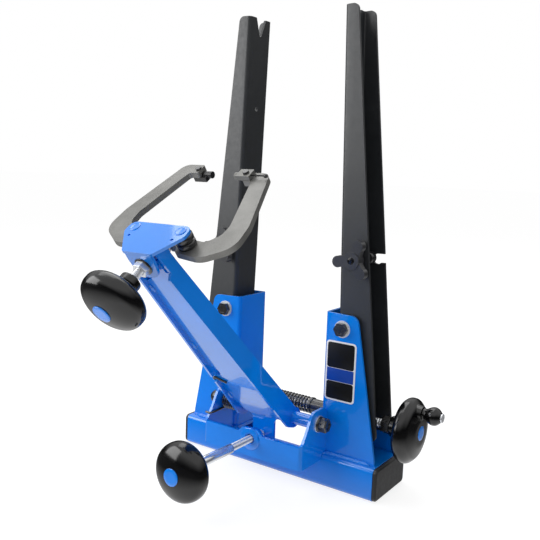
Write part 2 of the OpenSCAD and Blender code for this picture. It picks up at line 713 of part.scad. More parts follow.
module arm_channel() color(blue) arm_frame() difference() {
    union() {
        arm_web();
        arm_side(false);
        on_side(-1) arm_side(true);
    }
    rod_x(pivot_tube_r + run, -60, 60);
    translate([0, head_setback, arm_reach]) rotate([-head_tilt, 0, 0])
        translate([-60, -60, -head_sheet]) cube([120, 120, 40]);
}

module arm_pivot_tube() color(blue) translate([0, pivot_y, pivot_z]) difference() {
    rod_x(pivot_tube_r, side_gap - ear_in, ear_in - side_gap);
    rod_x(pivot_bolt_r + run, -ear_half, ear_half);
}

// Frame of the head: origin between the calliper pivots on top of the plate
module head_frame() arm_frame() translate([0, head_setback, arm_reach])
    rotate([-head_tilt, 0, 0]) children();

module head_plate() color(blue) head_frame() {
    wing = calliper_pivot + 8;
    difference() {
        translate([0, 0, -head_sheet]) linear_extrude(head_sheet)
            polygon(rounded([[-wing, 7, 7], [wing, 7, 7], [wing + 0.5, -6, 7],
                [lip_width / 2 + 2, -lip_ahead, 3], [-lip_width / 2 - 2, -lip_ahead, 3],
                [-wing - 0.5, -6, 7]]));
        for (side = [-1, 1]) {
            translate([side * calliper_pivot, 0, -5]) cylinder(r = calliper_pin + run, h = 6);
            translate([side * (calliper_pivot - 1.5), -11, -5]) cylinder(r = 1.4, h = 6);
        }
    }
    difference() {
        plate_xz(rounded([[-lip_width / 2, -head_sheet, 0], [-lip_width / 2, -10, 0],
            [-lip_width / 2 + 3, -lip_drop, 10], [lip_width / 2 - 3, -lip_drop, 10],
            [lip_width / 2, -10, 0], [lip_width / 2, -head_sheet, 0]]),
            -lip_ahead, -lip_ahead + head_sheet);
        translate([0, 0, -head_screw_drop]) rod_y(thread_r + 0.6, -lip_ahead - 1, 0);
    }
}
module at_head_screw() head_frame() translate([0, 0, -head_screw_drop]) children();
module head_nut() color(steel) at_head_screw() difference() {
    hex_y(13, -lip_ahead - 6.5, -lip_ahead);
    rod_y(thread_r + run, -lip_ahead - 8, 0);
}

module at_calliper(side) head_frame() on_side(side) translate([calliper_pivot, 0, 0]) children();

module calliper_spacer(level) difference() {
    translate([0, 0, -level + 0.1]) cylinder(r = 8.5, h = level - head_sheet - 0.1);
    translate([0, 0, -30]) cylinder(r = calliper_pin + run, h = 40);
}
module calliper_spacer_left() color(black) at_calliper(-1) calliper_spacer(left_level);
module calliper_spacer_right() color(black) at_calliper(1) calliper_spacer(right_level);

module calliper_pin(level) {
    foot = level + calliper_t + 0.2;
    translate([0, 0, -foot - 2]) cylinder(r = 7, h = 2);
    translate([0, 0, -foot - 1]) cylinder(r = calliper_pin, h = foot + 1.4);
}
module calliper_pin_left() color(blue) at_calliper(-1) calliper_pin(left_level);
module calliper_pin_right() color(blue) at_calliper(1) calliper_pin(right_level);

// Torsion spring round the pivot tube: one leg lies over the bracket's left ear, the
// other runs up outside the arm, through the notch, and rests on the web
// Mean radius: the chords between rings stay clear of the tube
torsion_mean = (pivot_tube_r + side_gap + torsion_wire / 2) / cos(180 / rings_per_curl);
torsion_from = -95;
torsion_to = arm_lean + 360 * torsion_curls;
torsion_rings = round((torsion_to - torsion_from) / 360 * rings_per_curl);
torsion_x = torsion_wire / 2 + side_gap - ear_in;
torsion_low = -torsion_mean - 0.3;
torsion_coil = [for (i = [0:torsion_rings])
    let (a = torsion_from + (torsion_to - torsion_from) * i / torsion_rings)
    [torsion_x + torsion_pitch * (a - torsion_from) / 360,
        torsion_mean * cos(a), torsion_mean * sin(a)]];
function arm_point(x, y, z) =
    [x, y * cos(arm_lean) - z * sin(arm_lean), y * sin(arm_lean) + z * cos(arm_lean)];
function beside(z) = -arm_half(z) - torsion_wire / 2 - side_gap;
leg_y = -tail_ahead - torsion_wire / 2 - 0.05;
torsion_path = concat(
    [[-ear_half - 2.5, -27.8, torsion_low], [-ear_half + 1, -27.8, torsion_low],
        [torsion_x - 0.4, -27.2, torsion_low], [torsion_x, -24.5, torsion_low],
        [torsion_x, -12, torsion_low + 0.2]],
    torsion_coil,
    [arm_point(beside(22) - 3, 4, 22), arm_point(beside(48) - 1, -4, 48),
        arm_point(beside(leg_z - 6), leg_y, leg_z - 6),
        arm_point(beside(leg_z) + 0.8, leg_y, leg_z - 1.2),
        arm_point(beside(leg_z) + 3.5, leg_y, leg_z - 1.6), arm_point(-17, leg_y, leg_z - 8)]);
module torsion_spring() {
    echo(torsion_spring_least_gap =
        least_gap(torsion_coil, rings_per_curl / 2 + 1, torsion_wire));
    color(slate) translate([0, pivot_y, pivot_z]) wire_tube(torsion_path, torsion_wire / 2);
}

// ---------- callipers ----------

// Half thickness of the lever end that the spool carries, and of the lever behind it
lever_nose = 2.8;
lever_half = 2.2;
lever_reach = 18.5;
lever_x = -lever_reach - lever_nose;

// Outline of a calliper from its pivot: lever, hub, then out round the rim and back in
outer_x = calliper_root + 25.5;
hand_low = calliper_reach - calliper_end / 2 + 1;
hand_high = calliper_reach + calliper_end / 2 - 1;
hand_x = nose_gap + 11 - calliper_pivot;
calliper_outline = rounded([[lever_x, lever_nose, lever_nose - 0.05],
    [lever_x, -lever_nose, lever_nose - 0.05], [2 - lever_reach, -lever_nose, 1],
    [-11, -lever_half, 2], [-9.5, -9.5, 5], [20, -13, 20], [outer_x + 1, 4, 20],
    [outer_x - 1, 32, 30], [22.5, hand_high, 10], [hand_x, hand_high, 1.5],
    [hand_x, hand_low, 1.5], [9, hand_low, 4], [outer_x - calliper_root, 30, 14],
    [outer_x - calliper_root - 1, 17, 9], [14, 6.5, 9], [-9.5, 9.5, 5],
    [-11, lever_half, 2], [2 - lever_reach, lever_nose, 1]], 8);

module calliper(level) translate([0, 0, -level - calliper_t]) difference() {
    linear_extrude(calliper_t) polygon(calliper_outline);
    translate([0, 0, -1]) cylinder(r = calliper_pin + run, h = calliper_t + 2);
    translate([tip_x + 14, calliper_reach - 0.5, -1]) cylinder(r = 2 + run, h = calliper_t + 2);
}
module calliper_left() color(grey) at_calliper(-1) calliper(left_level);
module calliper_right() color(grey) at_calliper(1) calliper(right_level);

// Nose that meets the rim, on a block under or over the end of the arm
tip_x = nose_gap - calliper_pivot;
module calliper_tip(z0, z1) translate([tip_x, calliper_reach, -head_screw_drop]) difference() {
    union() {
        rod_x(3.4, 0, 10.5);
        translate([5, -6, z0]) cube([15, 11, z1 - z0]);
    }
    translate([14, -0.5, z0 - 1]) cylinder(r = 2 + run, h = z1 - z0 + 2);
}
left_floor = head_screw_drop - left_level - calliper_t;
right_roof = head_screw_drop - right_level;
module calliper_tip_left() color(black) at_calliper(-1) calliper_tip(left_floor - 5, left_floor);
module calliper_tip_right() color(black) at_calliper(1) calliper_tip(right_roof, right_roof + 5);

module calliper_screw(z0, z1) translate([tip_x + 14, calliper_reach - 0.5, -head_screw_drop]) {
    translate([0, 0, z0]) cylinder(r = 2, h = z1 - z0 + 0.5);
    translate([0, 0, z1]) cylinder(r = 3, h = 2);
}
module calliper_screw_left() color(slate) at_calliper(-1)
    calliper_screw(left_floor - 5, left_floor + calliper_t);
module calliper_screw_right() color(slate) at_calliper(1)
    calliper_screw(right_roof - calliper_t, right_roof + 5);

// ---------- head screw and radius screw ----------

// Screw with a grooved spool that carries both lever ends
spool_half = lever_nose + 0.3;
module head_screw() color(steel) at_head_screw() {
    rod_y(thread_r, -head_knob_v - 12, -spool_half - 3 + eps);
    for (end = [-1, 1]) translate([0, end * (spool_half + 1.5), 0]) rod_y(9, -1.5, 1.5);
    rod_y(4.4, -spool_half - eps, spool_half + eps);
}
module head_knob() color(black) at_head_screw() translate([0, -head_knob_v, 0]) difference() {
    rotate([90, 0, 0]) round_knob(knob_r, knob_depth, 10);
    rod_y(thread_r + run, -14, 1);
}

module radius_screw() color(steel) translate([0, 0, radius_screw_z]) {
    step = panel_y - 33;
    rod_y(thread_r, step, screw_tip_y - thread_r);
    translate([0, screw_tip_y - thread_r, 0]) sphere(r = thread_r);
    rod_y(shoulder_r, panel_y - radius_reach - 14, step + eps);
}
module radius_knob() color(black) translate([0, panel_y - radius_reach, radius_screw_z])
    difference() {
        rotate([90, 0, 0]) round_knob(knob_r, knob_depth, 10);
        rod_y(shoulder_r + run, -16, 1);
    }

base_tube();
end_cap_left();
end_cap_right();
pivot_bracket();
radius_nut();
arm_pivot_bolt();
arm_pivot_nut();
arm_pivot_washers();
upright_bracket_left();
upright_bracket_right();
upright_bolt_left();
upright_bolt_right();
upright_bolt_nuts();
upright_bolt_washers();
upright_spacers();
upright_left();
upright_right();
clamp_nut_left();
clamp_nut_right();
clamp_stud_left();
clamp_stud_right();
clamp_knob_left();
clamp_knob_right();
trunnion_left();
trunnion_right();
sleeve_left();
sleeve_right();
drive_spring();
drive_screw();
drive_lock_nut();
drive_knob();
crank_pin();
crank_spinner();
arm_channel();
arm_pivot_tube();
head_plate();
head_nut();
calliper_spacer_left();
calliper_spacer_right();
calliper_pin_left();
calliper_pin_right();
torsion_spring();
calliper_left();
calliper_right();
calliper_tip_left();
calliper_tip_right();
calliper_screw_left();
calliper_screw_right();
head_screw();
head_knob();
radius_screw();
radius_knob();
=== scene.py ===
"""Looks of a hand-cranked truing stand for bicycle wheels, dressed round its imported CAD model.

Lengths are written in millimetres and become metres where a mesh is made. X runs along
the base tube, Y runs back and Z runs up, as in the CAD model.
"""

import json
import math

import bmesh
import bpy
import numpy as np
from mathutils import Matrix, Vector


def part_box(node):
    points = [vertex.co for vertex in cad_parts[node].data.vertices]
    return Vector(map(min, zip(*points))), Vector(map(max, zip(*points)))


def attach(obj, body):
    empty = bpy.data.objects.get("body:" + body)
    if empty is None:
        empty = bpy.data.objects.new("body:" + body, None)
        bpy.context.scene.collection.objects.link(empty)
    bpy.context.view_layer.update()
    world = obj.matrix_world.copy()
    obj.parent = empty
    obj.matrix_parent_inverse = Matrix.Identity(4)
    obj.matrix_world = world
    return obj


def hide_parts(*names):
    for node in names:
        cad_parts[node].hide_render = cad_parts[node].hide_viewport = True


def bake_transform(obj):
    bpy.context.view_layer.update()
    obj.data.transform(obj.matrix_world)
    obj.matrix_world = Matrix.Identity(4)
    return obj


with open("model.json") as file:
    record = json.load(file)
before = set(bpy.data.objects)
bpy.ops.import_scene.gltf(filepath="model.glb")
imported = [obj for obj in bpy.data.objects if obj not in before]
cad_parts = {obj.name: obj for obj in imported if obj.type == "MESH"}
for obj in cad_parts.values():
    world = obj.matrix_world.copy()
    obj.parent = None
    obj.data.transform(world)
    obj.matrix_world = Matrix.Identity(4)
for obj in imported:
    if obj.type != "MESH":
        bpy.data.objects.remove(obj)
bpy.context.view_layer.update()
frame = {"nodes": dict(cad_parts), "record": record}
cad_nodes = frame["nodes"]
body_of_node = {
    node: body
    for body, members in frame["record"]["behaviour"]["bodies"].items()
    for node in members
}

MM = 0.001

# ---------- sizes shared with the CAD model, in millimetres ----------

TUBE_FRONT_Y = -35.0
TUBE_TOP_Z = 35.0
PANEL_Y = -76.5
PIVOT = np.array([0.0, -43.0, 72.0])
ARM_LEAN_DEGREES = 44.3
ARM_LEAN = math.radians(ARM_LEAN_DEGREES)
HEAD_TILT = math.radians(7.8)
ARM_REACH = 273.5
HEAD_SETBACK = 18.6
ARM_FOOT_HALF = 34.0
ARM_TOP_HALF = 19.0
ARM_SHEET = 3.0
WEB_FRONT_Y = -9.5
HEAD_SCREW_DROP = 15.5
CALLIPER_PIVOT_X = 26.5
LIP_AHEAD = 31.0
KNOB_R = 29.5
KNOB_DEPTH = 41.0
HEAD_KNOB_V = 47.5
RADIUS_SCREW_Z = 49.5
RADIUS_KNOB_Y = PANEL_Y - 82.0
DRIVE_Z = 73.0
DRIVE_KNOB_BACK_X = 127.0
DRIVE_KNOB_DEPTH = 33.0
CRANK_R = 21.0
BRACKET_WEB_X = 56.5
BRACKET_HALF_WIDTH = 26.0
BRACKET_FOOT_X = 122.0


# ---------- materials ----------

def new_material(name):
    """An empty node material with its Principled shader, ready for the pattern nodes."""
    material = bpy.data.materials.new(name)
    material.use_nodes = True
    shader = material.node_tree.nodes["Principled BSDF"]
    return material, material.node_tree, shader


def object_point(tree):
    """The point on the piece in object space, which is the model's own frame."""
    return tree.nodes.new("ShaderNodeTexCoord").outputs["Object"]


def cloud(tree, point, scale, detail, roughness):
    """Soft noise of the given number of cells a metre."""
    noise = tree.nodes.new("ShaderNodeTexNoise")
    noise.inputs["Scale"].default_value = scale
    noise.inputs["Detail"].default_value = detail
    noise.inputs["Roughness"].default_value = roughness
    tree.links.new(point, noise.inputs["Vector"])
    return noise.outputs["Fac"]


def ranged(tree, value, low, high, start=0.35, end=0.65):
    """The value stretched from start..end to low..high and clamped there."""
    ranger = tree.nodes.new("ShaderNodeMapRange")
    ranger.inputs["From Min"].default_value = start
    ranger.inputs["From Max"].default_value = end
    ranger.inputs["To Min"].default_value = low
    ranger.inputs["To Max"].default_value = high
    tree.links.new(value, ranger.inputs["Value"])
    return ranger.outputs["Result"]


def tinted(tree, value, dark, light):
    """Colour that goes from dark to light as the value goes from 0 to 1."""
    mix = tree.nodes.new("ShaderNodeMix")
    mix.data_type = "RGBA"
    mix.inputs["A"].default_value = (*dark, 1.0)
    mix.inputs["B"].default_value = (*light, 1.0)
    tree.links.new(value, mix.inputs["Factor"])
    return mix.outputs["Result"]


def relief(tree, heights, shader, strength, depth, sockets=("Normal",)):
    """Fine relief on the shader's normal from one height pattern."""
    bump = tree.nodes.new("ShaderNodeBump")
    bump.inputs["Strength"].default_value = strength
    bump.inputs["Distance"].default_value = depth * MM
    tree.links.new(heights, bump.inputs["Height"])
    for socket in sockets:
        tree.links.new(bump.outputs["Normal"], shader.inputs[socket])


DRIFT_SCALE, SPREAD_SHARE = 14.0, 0.11
COAT_ROUGHNESS = 0.04


def finish_material(name, dark, light, roughness, grain, metallic=0.0, coat=0.0, coat_ior=1.5,
                    specular=0.5, relief_strength=0.1, relief_depth=0.05, coat_relief=False):
    """A sheen with slow colour drift, drifting roughness and a fine surface relief."""
    material, tree, shader = new_material(name)
    point = object_point(tree)
    drift = cloud(tree, point, DRIFT_SCALE, 4.0, 0.6)
    tree.links.new(tinted(tree, ranged(tree, drift, 0.0, 1.0), dark, light),
                   shader.inputs["Base Color"])
    fine = cloud(tree, point, grain, 2.0, 0.55)
    spread = cloud(tree, point, grain * SPREAD_SHARE, 4.0, 0.65)
    tree.links.new(ranged(tree, spread, roughness[0], roughness[1]), shader.inputs["Roughness"])
    relief(tree, fine, shader, relief_strength, relief_depth,
           ("Normal", "Coat Normal") if coat_relief else ("Normal",))
    shader.inputs["Metallic"].default_value = metallic
    shader.inputs["Specular IOR Level"].default_value = specular
    shader.inputs["Coat Weight"].default_value = coat
    shader.inputs["Coat Roughness"].default_value = COAT_ROUGHNESS
    shader.inputs["Coat IOR"].default_value = coat_ior
    return material


def speckled_steel(name, dark, light):
    """Phosphated flat steel: warm grey with a fine darker speckle."""
    material, tree, shader = new_material(name)
    point = object_point(tree)
    speck = cloud(tree, point, 1500.0, 3.0, 0.75)
    drift = cloud(tree, point, 40.0, 3.0, 0.6)
    mixed = tree.nodes.new("ShaderNodeMath")
    mixed.operation = "MULTIPLY_ADD"
    mixed.inputs[1].default_value = 0.6
    tree.links.new(speck, mixed.inputs[0])
    scaled = tree.nodes.new("ShaderNodeMath")
    scaled.operation = "MULTIPLY"
    scaled.inputs[1].default_value = 0.4
    tree.links.new(drift, scaled.inputs[0])
    tree.links.new(scaled.outputs["Value"], mixed.inputs[2])
    tree.links.new(
        tinted(tree, ranged(tree, mixed.outputs["Value"], 0.0, 1.0, 0.4, 0.62), dark, light),
        shader.inputs["Base Color"])
    tree.links.new(ranged(tree, speck, 0.34, 0.5), shader.inputs["Roughness"])
    relief(tree, speck, shader, 0.1, 0.03)
    shader.inputs["Metallic"].default_value = 0.35
    return material


BLUE_PAINT = finish_material(
    "blue_powder_coat", (0.0001, 0.215, 0.81), (0.0003, 0.235, 0.89), (0.16, 0.22), 720.0,
    coat=1.0, coat_ior=1.7, specular=0.1, relief_strength=0.035, relief_depth=0.2, coat_relief=True)
BLACK_PAINT = finish_material(
    "satin_black_powder_coat", (0.010, 0.0125, 0.0155), (0.014, 0.017, 0.021), (0.44, 0.52),
    1900.0, specular=1.0, relief_strength=0.16, relief_depth=0.03)
ZINC = finish_material(
    "bright_zinc", (0.70, 0.72, 0.76), (0.82, 0.84, 0.87), (0.18, 0.28), 420.0,
    metallic=0.65, specular=0.8, relief_strength=0.06, relief_depth=0.04)
CHROME = finish_material(
    "polished_chrome", (0.80, 0.82, 0.85), (0.88, 0.89, 0.91), (0.07, 0.12), 900.0,
    metallic=0.7, specular=0.9, relief_strength=0.02, relief_depth=0.03)
BLACK_STEEL = finish_material(
    "blackened_steel", (0.012, 0.012, 0.013), (0.022, 0.022, 0.024), (0.2, 0.32), 800.0,
    specular=0.9, relief_strength=0.1, relief_depth=0.03)
SPRING_WIRE = finish_material(
    "oiled_spring_wire", (0.012, 0.012, 0.013), (0.02, 0.02, 0.021), (0.14, 0.22), 700.0,
    specular=1.0, coat=0.5, relief_strength=0.08, relief_depth=0.03)
GREY_STEEL = speckled_steel("phosphated_grey_steel", (0.14, 0.139, 0.131), (0.235, 0.233, 0.222))
BLACK_PLASTIC = finish_material(
    "glossy_black_plastic", (0.002, 0.002, 0.0025), (0.0035, 0.0035, 0.004), (0.13, 0.19),
    380.0, specular=0.6, relief_strength=0.015, relief_depth=0.05)
BRIGHT_WASHER = finish_material(
    "bright_washer_zinc", (0.78, 0.79, 0.81), (0.88, 0.89, 0.9), (0.2, 0.3), 420.0,
    metallic=0.25, specular=0.8, relief_strength=0.05, relief_depth=0.04)
KNOB_PLASTIC = finish_material(
    "satin_clamp_knob_plastic", (0.022, 0.023, 0.026), (0.034, 0.035, 0.040), (0.3, 0.4), 1500.0,
    specular=0.8, relief_strength=0.14, relief_depth=0.03)
CAP_PLASTIC = finish_material(
    "moulded_cap_plastic", (0.018, 0.018, 0.019), (0.028, 0.028, 0.030), (0.38, 0.5), 2200.0,
    relief_strength=0.3, relief_depth=0.04)
TIP_PLASTIC = finish_material(
    "black_acetal", (0.010, 0.010, 0.011), (0.016, 0.016, 0.017), (0.24, 0.32), 1200.0,
    relief_strength=0.08, relief_depth=0.03)
SLIP_WASHER = finish_material(
    "slip_washer_nylon", (0.55, 0.54, 0.50), (0.62, 0.61, 0.57), (0.4, 0.5), 900.0,
    relief_strength=0.1, relief_depth=0.03)
LABEL_RIM = finish_material(
    "label_white_rim", (0.86, 0.86, 0.87), (0.9, 0.9, 0.91), (0.3, 0.36), 500.0, coat=0.6,
    relief_strength=0.03, relief_depth=0.02)
LABEL_FIELD = finish_material(
    "label_black_field", (0.004, 0.004, 0.005), (0.006, 0.006, 0.008), (0.36, 0.44), 500.0,
    specular=0.3, relief_strength=0.03, relief_depth=0.02)
LABEL_BAND = finish_material(
    "label_blue_band", (0.001, 0.05, 0.36), (0.002, 0.06, 0.40), (0.36, 0.44), 500.0,
    specular=0.3,
    relief_strength=0.03, relief_depth=0.02)

FINISH_OF_SLOT = {
    "blue_paint": BLUE_PAINT, "black_paint": BLACK_PAINT, "zinc": ZINC,
    "black_steel": BLACK_STEEL, "spring_wire": SPRING_WIRE, "grey_steel": GREY_STEEL,
    "black_plastic": BLACK_PLASTIC, "cap_plastic": CAP_PLASTIC, "tip_plastic": TIP_PLASTIC,
    "slip_washer": SLIP_WASHER,
}
slot_of_node = {row["node"]: row["material_slot"] for row in frame["record"]["subparts"]}


# ---------- frames of the moving parts ----------

def turned(points, angle):
    """Points turned about X by the angle, Y towards Z."""
    points = np.asarray(points, float)
    c, s = math.cos(angle), math.sin(angle)
    y, z = points[..., 1], points[..., 2]
    return np.stack([points[..., 0], y * c - z * s, y * s + z * c], axis=-1)


def arm_place(points):
    """Points from the frame of the arm, whose origin is the pivot and whose Z runs along it."""
    return turned(points, ARM_LEAN) + PIVOT


def head_place(points):
    """Points from the frame of the head, between the calliper pivots on top of the plate."""
    return arm_place(turned(points, -HEAD_TILT) + [0.0, HEAD_SETBACK, ARM_REACH])


def screw_place(points):
    """Points from the frame of the head screw, whose axis lies under the plate."""
    return head_place(np.asarray(points, float) + [0.0, 0.0, -HEAD_SCREW_DROP])


def arm_half(z):
    """Half width over the side plates of the arm at a height along it."""
    return ARM_FOOT_HALF - (ARM_FOOT_HALF - ARM_TOP_HALF) / ARM_REACH * z


# ---------- meshes ----------

def piece_from(name, points, faces, body, slot, material, smooth):
    """A piece from points in millimetres and its faces, riding on a body if one is named."""
    mesh = bpy.data.meshes.new(name)
    mesh.from_pydata((np.asarray(points, float).reshape(-1, 3) * MM).tolist(), [],
                     [tuple(face) for face in faces])
    mesh.validate()
    mesh.polygons.foreach_set("use_smooth", np.full(len(mesh.polygons), smooth))
    mesh.materials.append(material or FINISH_OF_SLOT[slot])
    piece = bpy.data.objects.new(name, mesh)
    bpy.context.scene.collection.objects.link(piece)
    if body is not None:
        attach(piece, body)
    return piece


def grid_faces(rows, columns):
    """Four-sided faces of a grid that is closed round its columns, facing outwards."""
    i, j = np.meshgrid(np.arange(rows - 1), np.arange(columns), indexing="ij")
    k, m = i + 1, (j + 1) % columns
    return np.stack([i * columns + j, i * columns + m, k * columns + m, k * columns + j],
                    axis=-1).reshape(-1, 4).tolist()


def skin(name, rings, body, slot, material=None, capped=True, smooth=True):
    """A closed skin over rings of points; the first and last ring are closed by a face."""
    rows, columns = rings.shape[:2]
    faces = grid_faces(rows, columns)
    if capped:
        faces.append(list(range(columns))[::-1])
        faces.append([(rows - 1) * columns + j for j in range(columns)])
    return piece_from(name, rings, faces, body, slot, material, smooth)


def across(axis):
    """Two unit directions across an axis, right-handed with it."""
    axis = np.asarray(axis, float) / np.linalg.norm(axis)
    helper = np.array([0.0, 0.0, 1.0]) if abs(axis[2]) < 0.9 else np.array([1.0, 0.0, 0.0])
    first = np.cross(helper, axis)
    first /= np.linalg.norm(first)
    return axis, first, np.cross(axis, first)


def spokes_about(axis, sides):
    """A unit axis, equal angles round it, and the unit spokes across it at those angles."""
    axis, first, second = across(axis)
    angle = np.linspace(0.0, 2 * np.pi, sides, endpoint=False)
    return axis, angle, np.cos(angle)[:, None] * first + np.sin(angle)[:, None] * second


def lathe_rings(profile, foot, axis, sides):
    """Rings of a turned part: each profile row is [distance along the axis, radius]."""
    profile = np.asarray(profile, float)
    axis, _, spokes = spokes_about(axis, sides)
    return (np.asarray(foot, float) + profile[:, 0, None, None] * axis
            + profile[:, 1, None, None] * spokes)


def turned_part(name, profile, foot, axis, body, slot, node=None, sides=64, material=None,
                capped=True, smooth=True):
    """Turned part: a profile of [distance, radius] rows carried round an axis. It replaces
    its node where it has one."""
    piece = skin(name, lathe_rings(profile, foot, axis, sides), body, slot, material, capped,
                 smooth)
    if node:
        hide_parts(node)
    return piece


THREAD_SIDES, THREAD_STEPS, THREAD_CHAMFER = 28, 8, 1.2


def thread_rings(foot, axis, length, radius, lead, depth):
    """Rings of a screw thread: the radius falls by a smooth ridge wave that turns once
    round the axis for each lead, and both ends narrow by a chamfer."""
    rows = int(length / lead * THREAD_STEPS) + 1
    along = np.linspace(0.0, length, rows)
    axis, angle, spokes = spokes_about(axis, THREAD_SIDES)
    phase = (along[:, None] / lead - angle[None, :] / (2 * np.pi)) % 1.0
    ridge = 1.0 - np.abs(2 * phase - 1.0)
    ridge = np.clip(ridge * 1.35 - 0.1, 0.0, 1.0)
    edge = np.clip(np.minimum(along, length - along) / THREAD_CHAMFER, 0.0, 1.0)[:, None]
    reach = (radius - depth + depth * ridge) * (0.82 + 0.18 * edge)
    return (np.asarray(foot, float) + along[:, None, None] * axis
            + reach[..., None] * spokes[None])


def threaded_part(name, foot, axis, length, radius, lead, depth, body, slot, node):
    """Threaded length of a screw, which replaces its node."""
    piece = skin(name, thread_rings(foot, axis, length, radius, lead, depth), body, slot)
    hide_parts(node)


def tube_rings(path, radius, sides=12):
    """Rings of a wire: circles across a path, in frames carried along it without twist."""
    path = np.asarray(path, float)
    ahead = np.gradient(path, axis=0)
    ahead /= np.linalg.norm(ahead, axis=1)[:, None]
    side = np.zeros_like(path)
    side[0] = across(ahead[0])[1]
    for i in range(1, len(path)):
        carried = side[i - 1] - ahead[i] * np.dot(side[i - 1], ahead[i])
        side[i] = carried / np.linalg.norm(carried)
    other = np.cross(ahead, side)
    angle = np.linspace(0.0, 2 * np.pi, sides, endpoint=False)
    radius = np.broadcast_to(np.asarray(radius, float), len(path))
    return path[:, None] + radius[:, None, None] * (
        np.cos(angle)[None, :, None] * side[:, None]
        + np.sin(angle)[None, :, None] * other[:, None])


def curve_through(points, steps=10):
    """Smooth path through the points: a Catmull-Rom curve, steps samples for each span."""
    points = np.asarray(points, float)
    padded = np.vstack([2 * points[0] - points[1], points, 2 * points[-1] - points[-2]])
    t = np.linspace(0.0, 1.0, steps, endpoint=False)[None, :, None]
    a, b, c, d = (padded[i:len(padded) - 3 + i][:, None] for i in range(4))
    path = 0.5 * (2 * b + (c - a) * t + (2 * a - 5 * b + 4 * c - d) * t ** 2
                  + (3 * b - a - 3 * c + d) * t ** 3)
    return np.vstack([path.reshape(-1, 3), points[-1]])


FLAT_ANGLE = math.radians(30.0)
JOINED_ANGLE = math.radians(0.3)


def merged_copy(node, name, bevel, material):
    """A copy of a CAD node with its doubles merged, flat faces joined, edges over the flat
    angle bevelled, and the rest shaded round. It replaces the node."""
    source = cad_nodes[node].data
    source.calc_loop_triangles()
    points = np.empty(len(source.vertices) * 3, np.float32)
    source.vertices.foreach_get("co", points)
    points = points.reshape(-1, 3)
    corners = np.empty(len(source.loop_triangles) * 3, np.int32)
    source.loop_triangles.foreach_get("vertices", corners)
    _, first, inverse = np.unique(np.round(points * 1e6).astype(np.int64), axis=0,
                                     return_index=True, return_inverse=True)
    triangles = inverse.ravel()[corners].reshape(-1, 3)
    distinct = ((triangles[:, 0] != triangles[:, 1]) & (triangles[:, 1] != triangles[:, 2])
                & (triangles[:, 2] != triangles[:, 0]))
    mesh = bpy.data.meshes.new(name)
    mesh.from_pydata(points[first].tolist(), [], triangles[distinct].tolist())
    shape = bmesh.new()
    shape.from_mesh(mesh)
    bmesh.ops.dissolve_limit(shape, angle_limit=JOINED_ANGLE, verts=shape.verts,
                             edges=shape.edges, delimit=set())
    for face in shape.faces:
        face.smooth = True
    for edge in shape.edges:
        edge.smooth = not (edge.is_manifold and edge.calc_face_angle(0.0) > FLAT_ANGLE)
    shape.to_mesh(mesh)
    shape.free()
    slot = slot_of_node[node]
    mesh.materials.append(material or FINISH_OF_SLOT[slot])
    piece = bpy.data.objects.new(name, mesh)
    bpy.context.scene.collection.objects.link(piece)
    rounding = piece.modifiers.new("edge_rounding", "BEVEL")
    rounding.width = bevel * MM
    rounding.segments = 2
    rounding.limit_method = "ANGLE"
    rounding.angle_limit = FLAT_ANGLE
    rounding.harden_normals = True
    rounding.use_clamp_overlap = True
    rounding.miter_outer = "MITER_ARC"
    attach(piece, body_of_node[node])
    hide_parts(node)


# ---------- sheet metal, bolts and mouldings: rounded copies of their nodes ----------

ROUNDED_EDGES = {
    "base_tube": 0.25, "end_cap_left": 0.5, "end_cap_right": 0.5,
    "pivot_bracket": 0.6, "upright_bracket_left": 0.6, "upright_bracket_right": 0.6,
    "upright_left": 0.5, "upright_right": 0.5,
    "arm_channel": 0.5, "arm_pivot_tube": 0.2, "head_plate": 0.5,
    "calliper_left": 0.5, "calliper_right": 0.5,
    "calliper_tip_left": 0.4, "calliper_tip_right": 0.4,
    "calliper_pin_left": 0.3, "calliper_pin_right": 0.3,
    "calliper_screw_left": 0.3, "calliper_screw_right": 0.3,
    "head_nut": 0.5, "drive_lock_nut": 0.6,
    "arm_pivot_bolt": 0.5, "arm_pivot_washers": 0.25,
    "upright_bolt_left": 0.6, "upright_bolt_right": 0.6, "upright_bolt_nuts": 0.5,
    "upright_bolt_washers": 0.3, "upright_spacers": 0.15,
    "clamp_nut_left": 0.4, "clamp_nut_right": 0.4,
    "clamp_knob_left": 1.0, "clamp_knob_right": 1.0,
    "trunnion_left": 0.5, "trunnion_right": 0.5, "sleeve_left": 0.3, "sleeve_right": 0.3,
    "crank_pin": 0.4, "drive_knob": 0.3,
}
FINISH_OF_NODE = {"clamp_knob_left": KNOB_PLASTIC, "clamp_knob_right": KNOB_PLASTIC,
                  "upright_bolt_washers": BRIGHT_WASHER}
for node, bevel in ROUNDED_EDGES.items():
    merged_copy(node, f"{node}_finished", bevel, FINISH_OF_NODE.get(node))


# ---------- screws ----------

AXIS_R = 0.01
THREAD_R = 4.0
THREAD_LEAD = 1.25
DRIVE_SCREW_R = 5.0
DRIVE_SCREW_LEAD = 3.0
DRIVE_SCREW_FOOT_X, DRIVE_SCREW_LENGTH = -112.5, 255.5

threaded_part("drive_screw_thread", [DRIVE_SCREW_FOOT_X, 0, DRIVE_Z], [1, 0, 0],
              DRIVE_SCREW_LENGTH, DRIVE_SCREW_R, DRIVE_SCREW_LEAD, 0.7, "drive", "zinc",
              "drive_screw")

